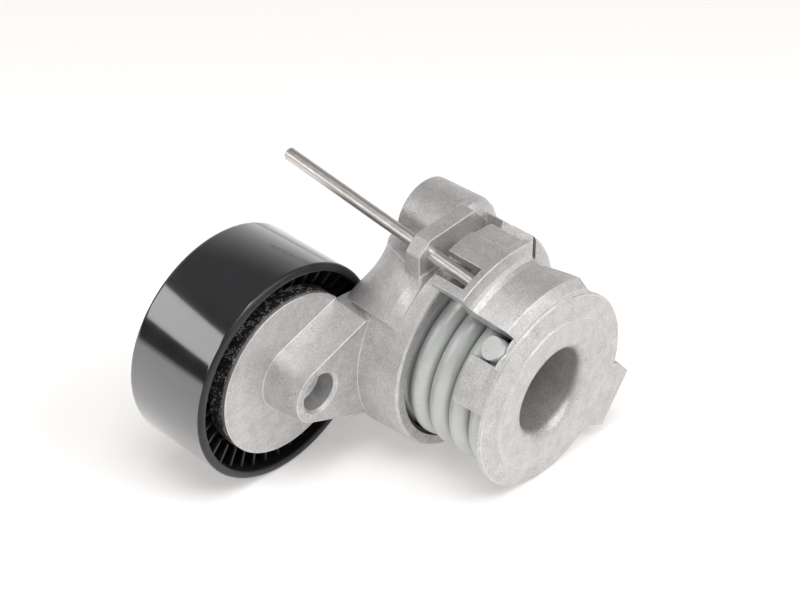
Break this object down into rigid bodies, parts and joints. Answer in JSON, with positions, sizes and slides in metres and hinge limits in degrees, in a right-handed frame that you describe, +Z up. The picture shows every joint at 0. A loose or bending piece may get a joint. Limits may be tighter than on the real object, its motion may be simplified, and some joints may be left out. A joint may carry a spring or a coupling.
{
  "type": "belt tensioner",
  "caption": "Spring-loaded accessory belt tensioner: cast base with torsion spring, swing arm, smooth black idler pulley and lock pin.",
  "frame": {"origin": "centre of the mounting bore's mouth, on the raised land of the mounting face", "axes": "+Y along the pivot axis from the mounting face to the pulley end, -X towards the pulley, +Z up as the part lies on its side"},
  "size_m": [0.121, 0.0951, 0.0822],
  "materials": {
    "cast_aluminium": "as-cast, shot-blasted, matte with worn bright edges",
    "coated_spring_steel": "light grey zinc-flake coating, satin",
    "bright_steel_pin": "drawn bright steel wire",
    "black_nylon": "glass-filled nylon, polished running surface",
    "black_shield": "rough moulded black plastic",
    "dark_polymer": "self-lubricating nylon, matte",
    "bush_polymer": "filled PTFE-bronze bush",
    "friction_lining": "pressed friction lining",
    "plated_steel": "zinc-plated steel, satin",
    "spring_steel": "blued spring steel",
    "bearing_steel": "ground bearing steel",
    "cage_nylon": "natural moulded nylon",
    "seal_rubber": "nitrile rubber on a steel disc"
  },
  "bodies": {
    "base": {"base_housing": "cast_aluminium", "bolt_sleeve": "plated_steel", "spring_guide": "dark_polymer", "torsion_spring": "coated_spring_steel", "thrust_plate": "plated_steel", "disc_spring": "spring_steel", "retaining_ring": "spring_steel"},
    "arm": {"swing_arm": "cast_aluminium", "damping_liner": "dark_polymer", "front_bush": "bush_polymer", "rear_bush": "bush_polymer", "friction_washer": "friction_lining", "bearing_inner_ring": "bearing_steel", "bearing_spacer": "plated_steel", "bolt_washer": "plated_steel", "pulley_bolt": "plated_steel", "hub_shield": "black_shield"},
    "pin": {"lock_pin": "bright_steel_pin"},
    "pulley": {"pulley_shell": "black_nylon", "bearing_outer_ring": "bearing_steel", "front_bearing_seal": "seal_rubber", "rear_bearing_seal": "seal_rubber", "dust_cap": "black_nylon"},
    "ball_cage": {"bearing_balls": "bearing_steel", "bearing_cage": "cage_nylon"}
  },
  "joints": [
    {"name": "arm_swing", "type": "hinge", "parent": "base", "child": "arm", "pos_m": [0, 0, 0], "axis": [0, 1, 0], "range_deg": [0, 25], "deforming": ["torsion_spring"]},
    {"name": "pin_pull", "type": "slide", "parent": "arm", "child": "pin", "axis": [0, 0.9917, 0.1289], "range_m": [0, 0.2]},
    {"name": "pulley_spin", "type": "hinge", "parent": "arm", "child": "pulley", "pos_m": [-0.04926, 0.0744, 0.0037], "axis": [0, 1, 0], "continuous": true},
    {"name": "ball_roll", "type": "hinge", "parent": "arm", "child": "ball_cage", "pos_m": [-0.04926, 0.0744, 0.0037], "axis": [0, 1, 0], "continuous": true}
  ],
  "couplings": [
    {"joint": "pin_pull", "follows": "arm_swing", "m_per_rad": 0.45},
    {"joint": "ball_roll", "follows": "pulley_spin", "ratio": 0.62}
  ]
}
